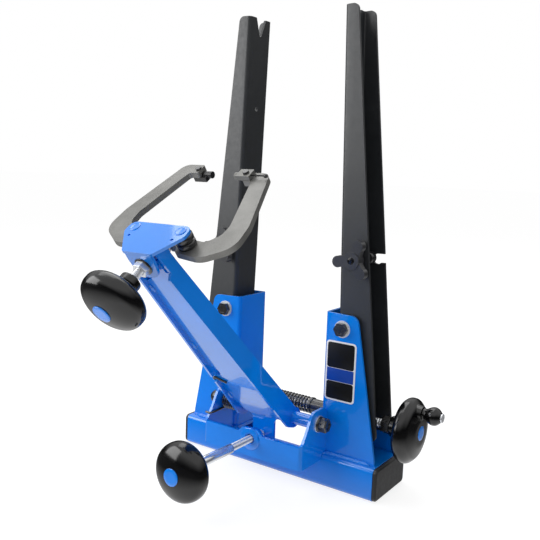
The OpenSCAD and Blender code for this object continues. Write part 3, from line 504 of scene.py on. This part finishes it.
HEAD_SCREW_REACH = HEAD_KNOB_V + 12
SPOOL_END = 6.1
head_screw_foot = screw_place([[0, -HEAD_SCREW_REACH, 0]])[0]
spool_middle = screw_place([[0, 0, 0]])[0]
head_axis = screw_place([[0, 1, 0]])[0] - spool_middle
threaded_part("head_screw_thread", head_screw_foot, head_axis, HEAD_SCREW_REACH - SPOOL_END,
              THREAD_R, THREAD_LEAD, 0.45, "head_screw", "zinc", "head_screw")
SPOOL = [[-6.0, 0.0], [-6.0, 8.3], [-5.4, 8.9], [-3.7, 8.9], [-3.1, 8.4], [-3.1, 4.6],
         [-2.7, 4.4], [2.7, 4.4], [3.1, 4.6], [3.1, 8.4], [3.7, 8.9], [5.4, 8.9], [6.0, 8.3],
         [6.0, 0.0]]
turned_part("head_screw_spool", np.array(SPOOL) + [[0.0, AXIS_R]], spool_middle, head_axis,
            "head_screw", "zinc")

RADIUS_STEP_Y = PANEL_Y - 33.0
TAIL_CLEARANCE = 0.45
screw_tip_y = PIVOT[1] + WEB_FRONT_Y - TAIL_CLEARANCE
radius_axis_foot = [0, 0, RADIUS_SCREW_Z]
threaded_part("radius_screw_thread", [0, RADIUS_STEP_Y, RADIUS_SCREW_Z], [0, 1, 0],
              screw_tip_y - THREAD_R - RADIUS_STEP_Y, THREAD_R, THREAD_LEAD, 0.4,
              "radius_screw", "zinc", "radius_screw")
dome = np.radians(np.linspace(0.0, 90.0, 9))
turned_part("radius_screw_nose",
            np.stack([THREAD_R * np.sin(dome) + screw_tip_y - THREAD_R,
                      THREAD_R * np.cos(dome) * 0.98 + AXIS_R], axis=-1),
            radius_axis_foot, [0, 1, 0], "radius_screw", "zinc")
SHOULDER = [[RADIUS_KNOB_Y - 14, 4.6], [RADIUS_KNOB_Y - 13.6, 5.0], [RADIUS_STEP_Y - 0.6, 5.0],
            [RADIUS_STEP_Y, 4.4], [RADIUS_STEP_Y, 3.6]]
turned_part("radius_screw_shoulder", SHOULDER, radius_axis_foot, [0, 1, 0], "radius_screw",
            "zinc", material=CHROME)

CLAMP_X, CLAMP_Z = 86.84, 246.0
CLAMP_STUD_FRONT_Y, CLAMP_STUD_LENGTH = -32.0, 34.0
HOOK = [[2.0, 2.0], [2.0, 6.0], [2.6, 6.5], [11.2, 6.5], [12.0, 5.7], [12.0, AXIS_R]]
PLUG = [[-0.25, AXIS_R], [-0.25, 3.4], [-0.05, 3.9], [0.6, 3.9], [0.6, AXIS_R]]
for side, name in ((-1, "left"), (1, "right")):
    stud, knob = f"clamp_stud_{name}", f"clamp_knob_{name}"
    threaded_part(f"{stud}_thread", [side * CLAMP_X, CLAMP_STUD_FRONT_Y, CLAMP_Z], [0, 1, 0],
                  CLAMP_STUD_LENGTH, 3.2, 1.0, 0.35, stud, "black_steel", stud)
    turned_part(f"clamp_hook_{name}", HOOK, [side * CLAMP_X, 0.0, CLAMP_Z], [0, 1, 0], stud,
                "black_steel")
    turned_part(f"{knob}_plug", PLUG, [side * CLAMP_X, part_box(knob)[0][1] / MM, CLAMP_Z],
                [0, 1, 0], knob, "black_plastic")


# ---------- springs ----------

DRIVE_WIRE_R = 1.3
DRIVE_MEAN_R = 7.95
DRIVE_CURLS = 13
DRIVE_CURVE_POINTS = 183
SPRING_GAP = 0.3
DRIVE_HALF = 28.0 - DRIVE_WIRE_R - SPRING_GAP


def drive_spring_half(name, start, end):
    """Half of the drive spring: a helix round the drive screw between two shares of its
    length, with a straight tail at the outer end."""
    share = np.linspace(start, end, DRIVE_CURVE_POINTS)
    angle = 2 * np.pi * DRIVE_CURLS * share
    path = np.stack([-DRIVE_HALF + 2 * DRIVE_HALF * share, DRIVE_MEAN_R * np.cos(angle),
                     DRIVE_Z + DRIVE_MEAN_R * np.sin(angle)], axis=-1)
    if start == 0.0:
        path = np.vstack([path[0] - [0, 0, 2 * DRIVE_WIRE_R], path])
    else:
        path = np.vstack([path, path[-1] + [0, 0, 2 * DRIVE_WIRE_R]])
    piece = skin(name, tube_rings(path, DRIVE_WIRE_R), None, "spring_wire")
    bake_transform(piece)
    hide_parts("drive_spring")


drive_spring_half("drive_spring_left_half", 0.0, 0.5)
drive_spring_half("drive_spring_right_half", 0.5, 1.0)

TORSION_WIRE_R = 1.2
TORSION_CURLS = 6
TORSION_START, TORSION_STEP = -95.0, 11.25
TORSION_PITCH = 3.1
ARM_TUBE_R = 7.0
EAR_INNER_X = 61.0
TORSION_MEAN_R = (ARM_TUBE_R + SPRING_GAP + TORSION_WIRE_R) / math.cos(math.pi / 8)
TORSION_X = TORSION_WIRE_R + SPRING_GAP - EAR_INNER_X
TORSION_LOW = -TORSION_MEAN_R - SPRING_GAP
LEG_Z = 75.0
leg_y = WEB_FRONT_Y - TORSION_WIRE_R - 0.05


def beside(z):
    """Where the wire of the torsion spring runs outside the left plate of the arm."""
    return -arm_half(z) - TORSION_WIRE_R - SPRING_GAP


torsion_turn = np.radians(
    np.arange(TORSION_START, ARM_LEAN_DEGREES + 360.0 * TORSION_CURLS + 0.1, TORSION_STEP))
torsion_coil = np.stack(
    [TORSION_X + TORSION_PITCH * (torsion_turn - torsion_turn[0]) / (2 * np.pi),
     TORSION_MEAN_R * np.cos(torsion_turn), TORSION_MEAN_R * np.sin(torsion_turn)],
    axis=-1) + PIVOT
torsion_low = curve_through(
    np.array([[-66.5, -27.8, TORSION_LOW], [-63.0, -27.8, TORSION_LOW],
              [TORSION_X - 0.4, -27.2, TORSION_LOW], [TORSION_X, -24.5, TORSION_LOW],
              [TORSION_X, -12, TORSION_LOW + 0.2], torsion_coil[0] - PIVOT]) + PIVOT, 8)[:-1]
torsion_high = curve_through(
    np.vstack([torsion_coil[-1:], arm_place([
        [beside(22) - 3, 4, 22], [beside(48) - 1, -4, 48], [beside(LEG_Z - 6), leg_y, LEG_Z - 6],
        [beside(LEG_Z) + 0.8, leg_y, LEG_Z - 1.2], [beside(LEG_Z) + 3.5, leg_y, LEG_Z - 1.6],
        [-17, leg_y, LEG_Z - 8]])]), 8)[1:]
torsion_spring = skin(
    "torsion_spring_wire",
    tube_rings(np.vstack([torsion_low, torsion_coil, torsion_high]), TORSION_WIRE_R),
    None, "spring_wire")
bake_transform(torsion_spring)
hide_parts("torsion_spring")


# ---------- the round knobs, their collars and inlays, and the crank's spinner ----------

KNOB_SIDES = 96


def lobed_collar(name, foot, axis, length, radius, lobes, body):
    """Fluted collar on the neck of a knob: its radius is a wave of lobes round the axis that
    fades at both ends."""
    along = np.linspace(0.0, 1.0, 15)
    axis, angle, spokes = spokes_about(axis, KNOB_SIDES)
    swell = np.sqrt(np.clip(1.0 - (2 * along - 1.0) ** 8, 0.0, 1.0))[:, None]
    wave = 1.0 + 0.055 * np.cos(lobes * angle)[None, :]
    reach = radius * (0.9 + 0.1 * swell * wave)
    rings = (np.asarray(foot, float) + (along * length)[:, None, None] * axis
             + reach[..., None] * spokes[None])
    skin(name, rings, body, "black_plastic")


def crown_inlay(name, crown, axis, radius, body):
    """Plain round inlay in the crown of a knob: a shallow disc with a rounded rim."""
    profile = [[-0.9, AXIS_R], [-0.9, radius], [0.15, radius], [0.3, radius - 0.25],
               [0.34, radius * 0.6], [0.36, AXIS_R]]
    turned_part(name, profile, crown, axis, body, "blue_paint", sides=48)


def knob_body(name, foot, axis, radius, depth, neck, bore, body, node):
    """Round knob: a smooth curve through [share of the depth, radius] rows, turned round the
    axis, from the bore in its neck to the middle of its crown. It replaces its node."""
    side = radius - neck
    rows = [[0.14, bore], [0.0, bore], [0.0, neck - 0.7], [0.02, neck], [0.17, neck],
            [0.26, neck + 0.14 * side], [0.345, neck + 0.56 * side], [0.42, neck + 0.83 * side],
            [0.51, radius - 0.5], [0.6, radius], [0.69, radius - 0.4], [0.78, radius - 2.2],
            [0.86, radius * 0.79], [0.92, radius * 0.62], [0.965, radius * 0.42],
            [0.99, radius * 0.22], [1.0, AXIS_R]]
    sharp, soft = np.array(rows[:3]), curve_through(np.pad(rows[3:], ((0, 0), (0, 1))), 5)[:, :2]
    profile = np.vstack([sharp, soft]) * [depth, 1.0]
    profile[:, 0] = np.minimum(profile[:, 0], depth)
    profile[:, 1] = np.clip(profile[:, 1], AXIS_R, radius)
    turned_part(name, profile, foot, axis, body, "black_plastic", node, KNOB_SIDES)


knob_axis = -head_axis
head_neck = screw_place([[0, -HEAD_KNOB_V, 0]])[0]
radius_neck = np.array([0, RADIUS_KNOB_Y, RADIUS_SCREW_Z])
for name, neck_place, axis, bore in (("head_knob", head_neck, knob_axis, 3.9),
                                     ("radius_knob", radius_neck, np.array([0, -1.0, 0]), 4.9)):
    knob_body(f"{name}_body", neck_place, axis, KNOB_R, KNOB_DEPTH, 8.6, bore, name, name)
    lobed_collar(f"{name}_collar", neck_place + 0.4 * axis, axis, 7.4, 9.5, 6, name)
    crown_inlay(f"{name}_inlay", neck_place + KNOB_DEPTH * axis, axis, 8.5, name)
crown_inlay("drive_knob_inlay", [DRIVE_KNOB_BACK_X + DRIVE_KNOB_DEPTH, 0, DRIVE_Z], [1, 0, 0],
            7.5, "drive")

CRANK_FACE_X = DRIVE_KNOB_BACK_X + DRIVE_KNOB_DEPTH + 1.0
SPINNER_LENGTH, SPINNER_BORE_R = 18.9, 2.6
SPINNER_CURVE = [[0.8, 6.2, 0], [2.2, 5.9, 0], [4.2, 6.3, 0], [6.6, 7.8, 0], [9.6, 9.1, 0],
                 [12.4, 9.4, 0], [15.2, 8.5, 0], [17.4, 6.7, 0], [18.7, 5.4, 0],
                 [SPINNER_LENGTH, 5.1, 0]]
spinner_profile = np.vstack([
    [[SPINNER_LENGTH, SPINNER_BORE_R], [0.3, SPINNER_BORE_R], [0.3, 5.6]],
    curve_through(SPINNER_CURVE, 6)[:, :2], [[SPINNER_LENGTH, SPINNER_BORE_R]]])
turned_part("crank_spinner_grip", spinner_profile, [CRANK_FACE_X, 0, DRIVE_Z + CRANK_R],
            [1, 0, 0], "crank_spinner", "black_plastic", "crank_spinner", capped=False)


# ---------- fittings of the head, the arm's pivot and the panel ----------

RING_SIDES = 56
HEAD_UP = head_place([[0, 0, 1]])[0] - head_place([[0, 0, 0]])[0]
EYE_RIM = [[-0.2, AXIS_R], [-0.2, 5.3], [0.1, 5.35], [0.5, 5.1], [0.75, 4.6], [0.75, 4.1],
           [0.6, 3.7], [0.5, 3.2], [0.5, AXIS_R]]
DISC = [[0.0, 7.6], [0.5, 8.5], [2.9, 8.5], [3.4, 7.6]]
DISC_SHARE = 3.9
SPACER_BORE_R = 4.05
PLATE_UNDERSIDE = -3.0
for name, side, low, discs in (("left", -1, -8.9, 1), ("right", 1, -15.9, 2)):
    pivot = head_place([[side * CALLIPER_PIVOT_X, 0, 0]])[0]
    turned_part(f"calliper_pin_{name}_eye", EYE_RIM, pivot, HEAD_UP, "support_arm",
                "blue_paint", sides=RING_SIDES)
    stack = [[low, SPACER_BORE_R]]
    step = (PLATE_UNDERSIDE - low) / discs
    for i in range(discs):
        stack += [[low + i * step + rise * step / DISC_SHARE, radius] for rise, radius in DISC]
        stack.append([low + (i + 1) * step - step * 0.09, 5.4])
    stack[-1] = [PLATE_UNDERSIDE, 6.5]
    stack.append([PLATE_UNDERSIDE, SPACER_BORE_R])
    turned_part(f"calliper_spacer_{name}_discs", stack, pivot, HEAD_UP, "support_arm",
                "black_steel", f"calliper_spacer_{name}", RING_SIDES)
NUT_WASHER = [[-0.1, 4.3], [-0.1, 8.6], [0.25, 8.9], [0.8, 8.6], [0.8, 4.3]]
turned_part("head_nut_washer", NUT_WASHER, screw_place([[0, -LIP_AHEAD, 0]])[0], knob_axis,
            "support_arm", "black_steel", sides=RING_SIDES)

NUT_FACE_X = 65.6
CAP_NUT = [[0.0, 4.3], [0.0, 7.4], [0.8, 8.0], [7.6, 7.9], [11.0, 7.0], [13.4, 4.9], [14.6, 2.4],
           [14.9, AXIS_R]]
turned_part("arm_pivot_cap_nut", CAP_NUT, [-NUT_FACE_X, PIVOT[1], PIVOT[2]], [-1, 0, 0], "base",
            "black_steel", "arm_pivot_nut")
HEX_HEAD = [[1.7, AXIS_R], [1.7, 7.7], [8.9, 7.7], [10.0, 6.5], [10.0, 4.2], [9.0, 3.9],
            [9.0, AXIS_R]]
turned_part("arm_pivot_bolt_head", HEX_HEAD, [NUT_FACE_X, PIVOT[1], PIVOT[2]], [1, 0, 0], "base",
            "black_steel", sides=6, smooth=False)

BOSS = [[-1.0, 6.3], [-1.0, 11.4], [-0.6, 12.0], [0.0, 12.2], [3.1, 12.2], [3.1, 9.3], [11.4, 9.3],
        [12.0, 8.6], [12.0, 4.3], [3.0, 4.3], [2.6, 6.3], [-1.0, 6.3]]
turned_part("radius_boss", BOSS, [0, PANEL_Y, RADIUS_SCREW_Z], [0, 1, 0], "base", "blue_paint",
            "radius_nut", 72, capped=False)

TIP_ROD = [[0.0, AXIS_R], [0.0, 0.75], [14.6, 0.75], [15.2, 1.2], [15.8, 1.9], [17.2, 2.1],
           [18.4, 1.7], [18.9, 0.8], [19.0, AXIS_R]]
turned_part("calliper_tip_right_rod", TIP_ROD, head_place([[33.5, 97.0, -12.6]])[0], (1, 0, 0),
            "calliper_right", "black_steel", sides=20)


# ---------- label plate on the right bracket ----------

def rounded_rectangle(x0, x1, z0, z1, radius):
    """Outline of a rectangle with round corners, as [x, z] rows, anticlockwise."""
    turn = np.linspace(0.0, np.pi / 2, 7)
    arc = np.stack([np.cos(turn), np.sin(turn)], axis=-1) * radius
    quarter = np.array([[0.0, -1.0], [1.0, 0.0]])
    corners = [(x1 - radius, z1 - radius), (x0 + radius, z1 - radius),
               (x0 + radius, z0 + radius), (x1 - radius, z0 + radius)]
    rows = []
    for corner in corners:
        rows.append(arc + corner)
        arc = arc @ quarter.T
    return np.vstack(rows)


def front_plate(name, outline, y_back, y_front, material):
    """Thin plate that faces the front, with a small round-over on its front edge."""
    centre = outline.mean(axis=0)
    shrink = centre + (outline - centre) * (1 - 0.25 / np.abs(outline - centre).max())
    layers = [(outline, y_back), (outline, y_front + 0.1), (shrink, y_front)]
    rings = np.stack([np.stack([flat[:, 0], np.full(len(flat), y), flat[:, 1]], axis=-1)
                      for flat, y in layers])
    skin(name, rings, "base", "blue_paint", material)


LABEL_Y = -BRACKET_HALF_WIDTH
LABEL_PARTS = (
    ("label_rim", (59.5, 95.0, 95.0, 159.5, 4.0), 0.2, 0.35, LABEL_RIM),
    ("label_field_high", (61.3, 93.2, 130.5, 157.7, 2.6), -0.2, 0.45, LABEL_FIELD),
    ("label_band", (61.3, 93.2, 116.3, 130.2, 0.4), -0.2, 0.45, LABEL_BAND),
    ("label_field_low", (61.3, 93.2, 96.8, 116.0, 2.6), -0.2, 0.45, LABEL_FIELD),
)
for name, outline, sunk, proud, finish in LABEL_PARTS:
    front_plate(name, rounded_rectangle(*outline), LABEL_Y + sunk, LABEL_Y - proud, finish)


# ---------- weld beads ----------

RIPPLE_SPACING = 1.7


def weld_bead(name, path, width, height, up, body="base"):
    """Painted weld bead along a path: a flattened tube whose size swells in ripples."""
    path = np.asarray(path, float)
    lengths = np.linalg.norm(np.diff(path, axis=0), axis=1)
    total = lengths.sum()
    along = np.linspace(0.0, total, int(total / RIPPLE_SPACING * 6) + 1)
    reached = np.concatenate([[0.0], np.cumsum(lengths)])
    line = np.stack([np.interp(along, reached, path[:, i]) for i in range(3)], axis=-1)
    ahead = np.gradient(line, axis=0)
    ahead /= np.linalg.norm(ahead, axis=1)[:, None]
    up = np.asarray(up, float)
    side = np.cross(ahead, up)
    side /= np.linalg.norm(side, axis=1)[:, None]
    rise = np.cross(side, ahead)
    angle = np.linspace(0.0, 2 * np.pi, 14, endpoint=False)
    ripple = 1.0 + 0.1 * np.abs(np.sin(np.pi * along / RIPPLE_SPACING)) - 0.04 * np.sin(along * 0.9)
    taper = np.clip(np.minimum(along, total - along) / width, 0.05, 1.0) ** 0.5
    size = (ripple * taper)[:, None]
    rings = (line[:, None]
             + (size * np.cos(angle) * width / 2)[..., None] * side[:, None]
             + (size * np.sin(angle) * height)[..., None] * rise[:, None])
    skin(name, rings, body, "blue_paint")


EAR_WELD_X = 64.6
for side, name in ((-1, "left"), (1, "right")):
    for end, place in ((-1, "front"), (1, "back")):
        y = end * (BRACKET_HALF_WIDTH + 0.8)
        weld_bead(f"weld_bracket_{name}_{place}",
                  [[side * (BRACKET_WEB_X + 5), y, TUBE_TOP_Z + 0.4],
                   [side * (BRACKET_FOOT_X - 5), y, TUBE_TOP_Z + 0.4]], 6.4, 2.6, (0, 0, 1))
    weld_bead(f"weld_ear_{name}_foot",
              [[side * EAR_WELD_X, TUBE_FRONT_Y + 3, TUBE_TOP_Z + 0.3],
               [side * EAR_WELD_X, -BRACKET_HALF_WIDTH - 1, TUBE_TOP_Z + 0.3]], 4.0, 2.0, (0, 0, 1))

WEB_WELD_HEIGHTS = (37.0, 132.5, 224.5)
for count, height in enumerate(WEB_WELD_HEIGHTS):
    corner = ARM_SHEET - arm_half(height)
    weld_bead(f"weld_web_{count}",
              arm_place([[corner + 0.4, WEB_FRONT_Y - 0.4, height - 6],
                         [corner + 0.1, WEB_FRONT_Y - 0.4, height + 6]]),
              4.2, 1.8, turned([[0.7, -0.7, 0.0]], ARM_LEAN)[0], body="support_arm")


# ---------- studio ----------

CAMERA_LIFT, CAMERA_SHARE, GLOSS_SHARE, BOUNCE = 0.8, 0.32, 0.04, 0.8
STEEP, SHALLOW, SHALLOW_GLOW = 0.32, 0.74, 0.02
GLOSS_HORIZON, GLOSS_SKY, AMBIENT = 0.02, 1.0, 0.6
SKY_LOW, SKY_HIGH = 0.12, 0.6


def combined(tree, operation, first, second):
    """Result of a plain sum on two values, each a socket or a number."""
    node = tree.nodes.new("ShaderNodeMath")
    node.operation = operation
    for socket, value in zip(node.inputs, (first, second)):
        if isinstance(value, float):
            socket.default_value = value
        else:
            tree.links.new(value, socket)
    return node.outputs["Value"]


def studio_material(name):
    """Pale paper that the camera sees as white with a soft shadow, and that gloss sees as
    white where it looks straight down and dim where it looks along the floor."""
    material, tree, shader = new_material(name)
    tree.nodes.remove(shader)
    path = tree.nodes.new("ShaderNodeLightPath")
    camera_ray = path.outputs["Is Camera Ray"]
    gloss_ray = combined(tree, "MAXIMUM", path.outputs["Is Glossy Ray"],
                         path.outputs["Is Transmission Ray"])
    slant = tree.nodes.new("ShaderNodeLayerWeight")
    slant.inputs["Blend"].default_value = 0.5
    pool = ranged(tree, slant.outputs["Facing"], 1.0, SHALLOW_GLOW, STEEP, SHALLOW)
    share = combined(tree, "ADD", BOUNCE, combined(
        tree, "ADD", combined(tree, "MULTIPLY", camera_ray, CAMERA_SHARE - BOUNCE),
        combined(tree, "MULTIPLY", gloss_ray, GLOSS_SHARE - BOUNCE)))
    diffuse = tree.nodes.new("ShaderNodeBsdfDiffuse")
    tree.links.new(share, diffuse.inputs["Color"])
    glow = tree.nodes.new("ShaderNodeEmission")
    glow.inputs["Color"].default_value = (1.0, 1.0, 1.0, 1.0)
    tree.links.new(combined(tree, "ADD", combined(tree, "MULTIPLY", camera_ray, CAMERA_LIFT),
                            combined(tree, "MULTIPLY", gloss_ray, pool)),
                   glow.inputs["Strength"])
    both = tree.nodes.new("ShaderNodeAddShader")
    tree.links.new(diffuse.outputs["BSDF"], both.inputs[0])
    tree.links.new(glow.outputs["Emission"], both.inputs[1])
    tree.links.new(both.outputs["Shader"], tree.nodes["Material Output"].inputs["Surface"])
    return material


FLOOR_HALF = 20.0
FLOOR_DROP = 0.0004
floor_mesh = bpy.data.meshes.new("studio_floor")
floor_mesh.from_pydata(
    [(x * FLOOR_HALF, y * FLOOR_HALF, -FLOOR_DROP)
     for x, y in ((-1, -1), (1, -1), (1, 1), (-1, 1))], [], [(0, 1, 2, 3)])
floor_mesh.materials.append(studio_material("studio_paper"))
studio_floor = bpy.data.objects.new("studio_floor", floor_mesh)
bpy.context.scene.collection.objects.link(studio_floor)

world = bpy.data.worlds.new("studio_air")
world.use_nodes = True
bpy.context.scene.world = world
air = world.node_tree
background = air.nodes["Background"]
direction = air.nodes.new("ShaderNodeTexCoord").outputs["Generated"]
parts = air.nodes.new("ShaderNodeSeparateXYZ")
air.links.new(direction, parts.inputs["Vector"])
gloss_level = ranged(air, parts.outputs["Z"], GLOSS_HORIZON, GLOSS_SKY, SKY_LOW,
                     SKY_HIGH)
rays = air.nodes.new("ShaderNodeLightPath")
seen_gloss = air.nodes.new("ShaderNodeMix")
seen_gloss.inputs["A"].default_value = AMBIENT
air.links.new(rays.outputs["Is Glossy Ray"], seen_gloss.inputs["Factor"])
air.links.new(gloss_level, seen_gloss.inputs["B"])
seen_camera = air.nodes.new("ShaderNodeMix")
seen_camera.inputs["B"].default_value = 1.0
air.links.new(rays.outputs["Is Camera Ray"], seen_camera.inputs["Factor"])
air.links.new(seen_gloss.outputs["Result"], seen_camera.inputs["A"])
air.links.new(seen_camera.outputs["Result"], background.inputs["Strength"])
background.inputs["Color"].default_value = (1.0, 1.0, 1.0, 1.0)


def placed_by(right, up, back, place):
    """Matrix of an object whose own X, Y and Z point right, up and back from its place."""
    return Matrix([[right[i], up[i], back[i], place[i]] for i in range(3)] + [[0, 0, 0, 1]])


def softbox(name, place, target, width, height, power):
    """Rectangular studio lamp that looks from its place at a target, in metres."""
    lamp = bpy.data.lights.new(name, "AREA")
    lamp.shape = "RECTANGLE"
    lamp.size, lamp.size_y, lamp.energy = width, height, power
    holder = bpy.data.objects.new(name, lamp)
    holder.visible_camera = False
    way = np.asarray(target, float) - np.asarray(place, float)
    back, right, up = across(-way)
    holder.matrix_world = placed_by(right, up, back, place)
    bpy.context.scene.collection.objects.link(holder)


softbox("overhead_softbox", (-0.5, 0.3, 1.7), (0.0, -0.05, 0.15), 1.6, 1.4, 14.0)
softbox("front_left_softbox", (-0.85, -0.85, 0.62), (0.0, -0.05, 0.22), 0.9, 0.8, 8.5)


# ---------- camera ----------

CAMERA_PLACE = np.array([0.41598, -0.65066, 0.33320])
YAW, PITCH, ROLL = math.radians(34.72), math.radians(8.13), math.radians(2.05)
FOCAL_PIXELS, FRAME_PIXELS, SENSOR = 695.39, 540.0, 36.0

ahead = np.array([-math.sin(YAW) * math.cos(PITCH), math.cos(YAW) * math.cos(PITCH),
                  -math.sin(PITCH)])
level_right = np.array([math.cos(YAW), math.sin(YAW), 0.0])
level_up = np.cross(level_right, ahead)
right = math.cos(ROLL) * level_right + math.sin(ROLL) * level_up
upward = -math.sin(ROLL) * level_right + math.cos(ROLL) * level_up
lens = bpy.data.cameras.new("photo_camera")
lens.sensor_width = SENSOR
lens.lens = FOCAL_PIXELS / FRAME_PIXELS * SENSOR
lens.dof.use_dof = False
lens.clip_start, lens.clip_end = 0.02, 60.0
camera = bpy.data.objects.new("photo_camera", lens)
camera.matrix_world = placed_by(right, upward, -ahead, CAMERA_PLACE)
bpy.context.scene.collection.objects.link(camera)
bpy.context.scene.camera = camera
bpy.context.scene.view_settings.view_transform = "Standard"
